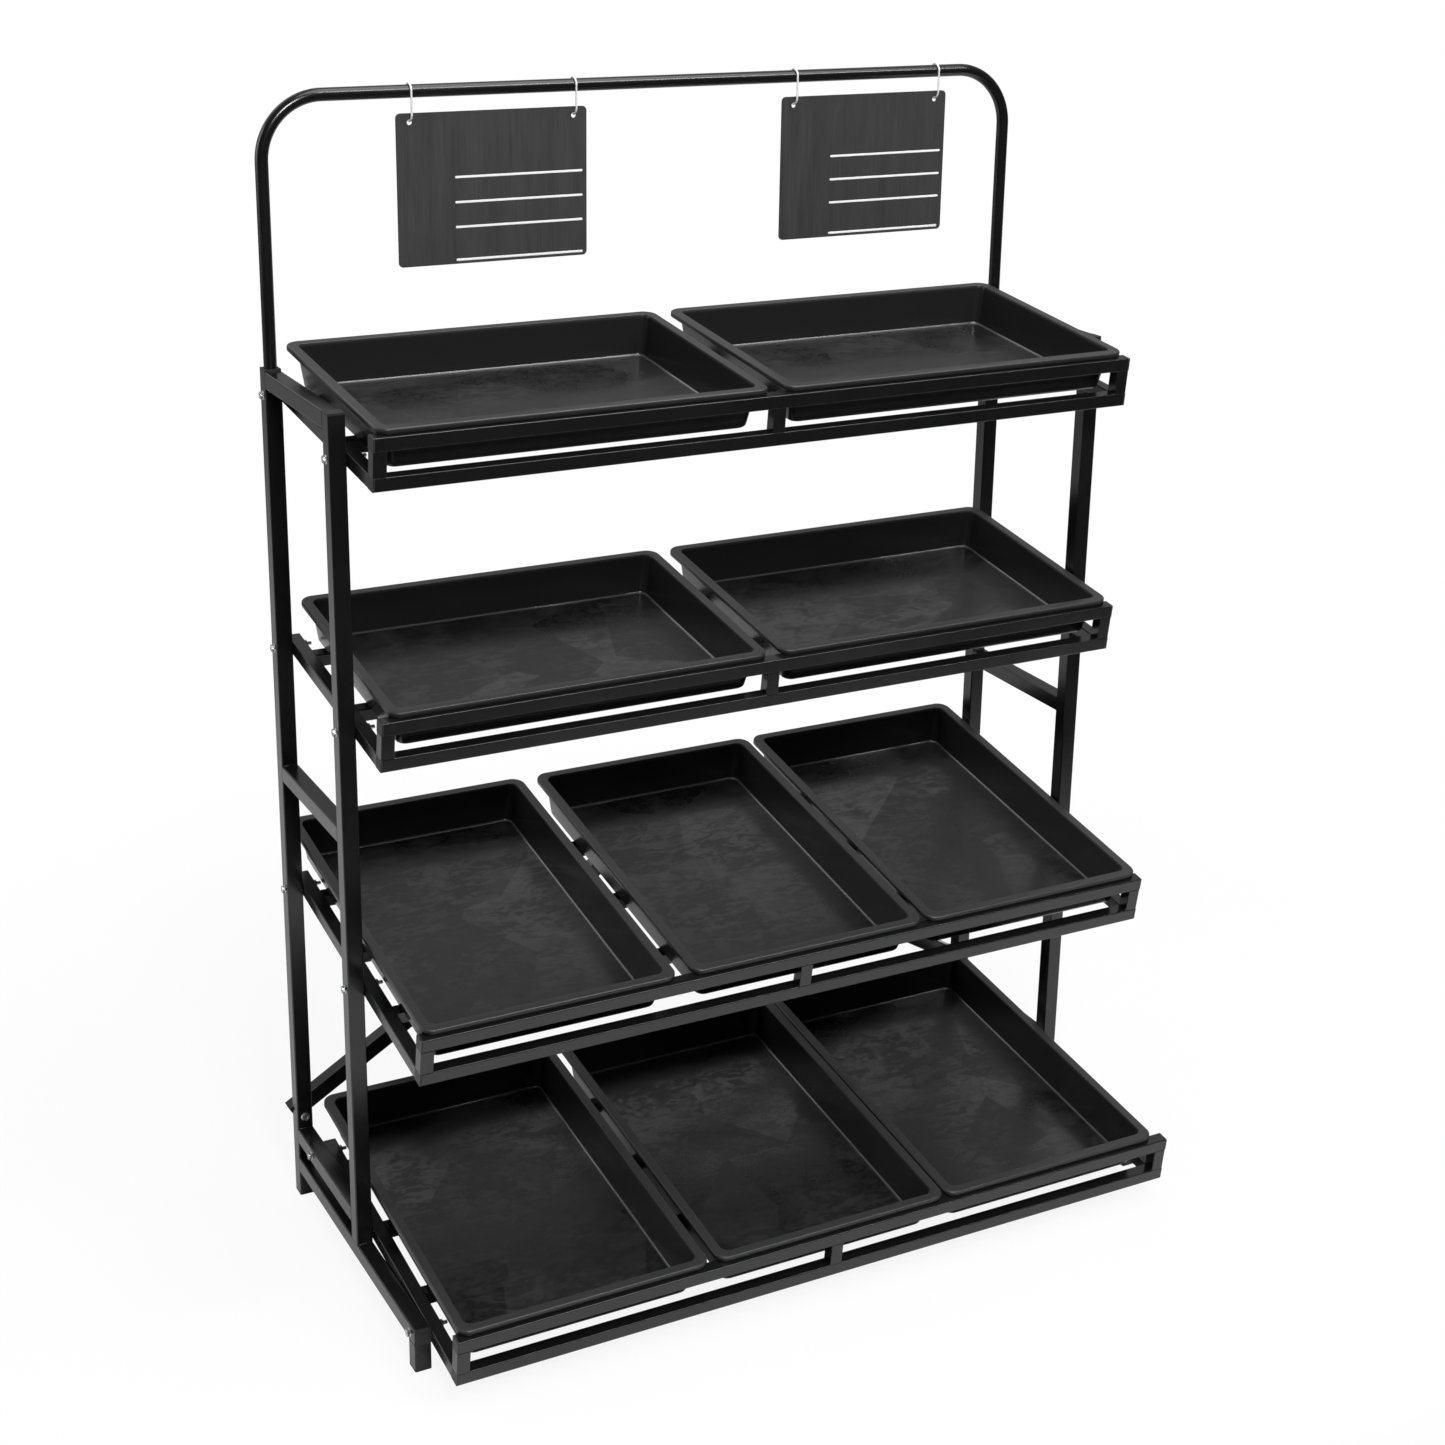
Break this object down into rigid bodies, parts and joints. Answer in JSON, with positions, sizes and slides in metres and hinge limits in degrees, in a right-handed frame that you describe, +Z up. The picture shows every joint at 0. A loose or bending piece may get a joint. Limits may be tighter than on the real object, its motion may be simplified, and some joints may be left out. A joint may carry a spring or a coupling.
{
  "type": "basket display rack",
  "caption": "Free-standing black steel display rack with sloping lipped shelves that hold lift-out plastic trays, and a header arch with hanging signs.",
  "frame": {"origin": "on the floor, in the middle of the rack's outer box", "axes": "+X to the right seen from the front, +Y towards the back, +Z up"},
  "size_m": [1.2804, 0.7032, 1.7498],
  "materials": {
    "black_frame": "black semi-gloss powder coat",
    "black_tray": "black injection-moulded plastic, fine satin",
    "black_plug": "black moulded plugs",
    "zinc_steel": "zinc plated",
    "white_wire": "white coated wire",
    "dark_sheet": "dark brushed sheet"
  },
  "bodies": {
    "rack": {"header_arch": "black_frame", "arch_bushes": "black_plug", "foot_plugs": "black_plug", "frame_end_plugs": "black_plug", "shelf_end_plugs": "black_plug", "frame_bolts": "zinc_steel", "frame_nuts": "zinc_steel", "left_rear_post": "black_frame", "left_front_post": "black_frame", "left_top_rung": "black_frame", "left_mid_rung": "black_frame", "left_low_rung": "black_frame", "left_bottom_rail": "black_frame", "left_front_foot": "black_frame", "left_rear_brace": "black_frame", "right_rear_post": "black_frame", "right_front_post": "black_frame", "right_top_rung": "black_frame", "right_mid_rung": "black_frame", "right_low_rung": "black_frame", "right_bottom_rail": "black_frame", "right_front_foot": "black_frame", "right_rear_brace": "black_frame", "shelf_1_lip_rail": "black_frame", "shelf_1_front_rail": "black_frame", "shelf_1_side_rails": "black_frame", "shelf_1_lip_uprights": "black_frame", "shelf_1_cross_bars": "black_frame", "shelf_2_lip_rail": "black_frame", "shelf_2_front_rail": "black_frame", "shelf_2_side_rails": "black_frame", "shelf_2_lip_uprights": "black_frame", "shelf_2_cross_bars": "black_frame", "shelf_3_lip_rail": "black_frame", "shelf_3_front_rail": "black_frame", "shelf_3_side_rails": "black_frame", "shelf_3_lip_uprights": "black_frame", "shelf_3_cross_bars": "black_frame", "shelf_4_lip_rail": "black_frame", "shelf_4_front_rail": "black_frame", "shelf_4_side_rails": "black_frame", "shelf_4_lip_uprights": "black_frame", "shelf_4_cross_bars": "black_frame"},
    "shelf_1_left_tray": {"shelf_1_left_tray": "black_tray"},
    "shelf_1_right_tray": {"shelf_1_right_tray": "black_tray"},
    "shelf_2_left_tray": {"shelf_2_left_tray": "black_tray"},
    "shelf_2_right_tray": {"shelf_2_right_tray": "black_tray"},
    "shelf_3_left_tray": {"shelf_3_left_tray": "black_tray"},
    "shelf_3_middle_tray": {"shelf_3_middle_tray": "black_tray"},
    "shelf_3_right_tray": {"shelf_3_right_tray": "black_tray"},
    "shelf_4_left_tray": {"shelf_4_left_tray": "black_tray"},
    "shelf_4_middle_tray": {"shelf_4_middle_tray": "black_tray"},
    "shelf_4_right_tray": {"shelf_4_right_tray": "black_tray"},
    "left_sign_hooks": {"left_sign_hooks": "white_wire"},
    "left_sign_plate": {"left_sign_plate": "dark_sheet"},
    "right_sign_hooks": {"right_sign_hooks": "white_wire"},
    "right_sign_plate": {"right_sign_plate": "dark_sheet"}
  },
  "joints": [
    {"name": "shelf_1_left_tray_lift", "type": "slide", "parent": "rack", "child": "shelf_1_left_tray", "axis": [0, -0.1049, 0.9945], "range_m": [0, 0.1]},
    {"name": "shelf_1_right_tray_lift", "type": "slide", "parent": "rack", "child": "shelf_1_right_tray", "axis": [0, -0.1049, 0.9945], "range_m": [0, 0.1]},
    {"name": "shelf_2_left_tray_lift", "type": "slide", "parent": "rack", "child": "shelf_2_left_tray", "axis": [0, -0.1369, 0.9906], "range_m": [0, 0.1]},
    {"name": "shelf_2_right_tray_lift", "type": "slide", "parent": "rack", "child": "shelf_2_right_tray", "axis": [0, -0.1369, 0.9906], "range_m": [0, 0.1]},
    {"name": "shelf_3_left_tray_lift", "type": "slide", "parent": "rack", "child": "shelf_3_left_tray", "axis": [0, -0.158, 0.9874], "range_m": [0, 0.1]},
    {"name": "shelf_3_middle_tray_lift", "type": "slide", "parent": "rack", "child": "shelf_3_middle_tray", "axis": [0, -0.158, 0.9874], "range_m": [0, 0.1]},
    {"name": "shelf_3_right_tray_lift", "type": "slide", "parent": "rack", "child": "shelf_3_right_tray", "axis": [0, -0.158, 0.9874], "range_m": [0, 0.1]},
    {"name": "shelf_4_left_tray_lift", "type": "slide", "parent": "rack", "child": "shelf_4_left_tray", "axis": [0, -0.1198, 0.9928], "range_m": [0, 0.1]},
    {"name": "shelf_4_middle_tray_lift", "type": "slide", "parent": "rack", "child": "shelf_4_middle_tray", "axis": [0, -0.1198, 0.9928], "range_m": [0, 0.1]},
    {"name": "shelf_4_right_tray_lift", "type": "slide", "parent": "rack", "child": "shelf_4_right_tray", "axis": [0, -0.1198, 0.9928], "range_m": [0, 0.1]},
    {"name": "left_hooks_on_arch", "type": "hinge", "parent": "rack", "child": "left_sign_hooks", "pos_m": [0, 0.28167, 1.737], "axis": [1, 0, 0], "range_deg": [-60, 60]},
    {"name": "left_sign_on_hooks", "type": "hinge", "parent": "left_sign_hooks", "child": "left_sign_plate", "pos_m": [0, 0.28167, 1.6947], "axis": [1, 0, 0], "range_deg": [-15, 15]},
    {"name": "right_hooks_on_arch", "type": "hinge", "parent": "rack", "child": "right_sign_hooks", "pos_m": [0, 0.28167, 1.737], "axis": [1, 0, 0], "range_deg": [-60, 60]},
    {"name": "right_sign_on_hooks", "type": "hinge", "parent": "right_sign_hooks", "child": "right_sign_plate", "pos_m": [0, 0.28167, 1.6947], "axis": [1, 0, 0], "range_deg": [-15, 15]}
  ]
}
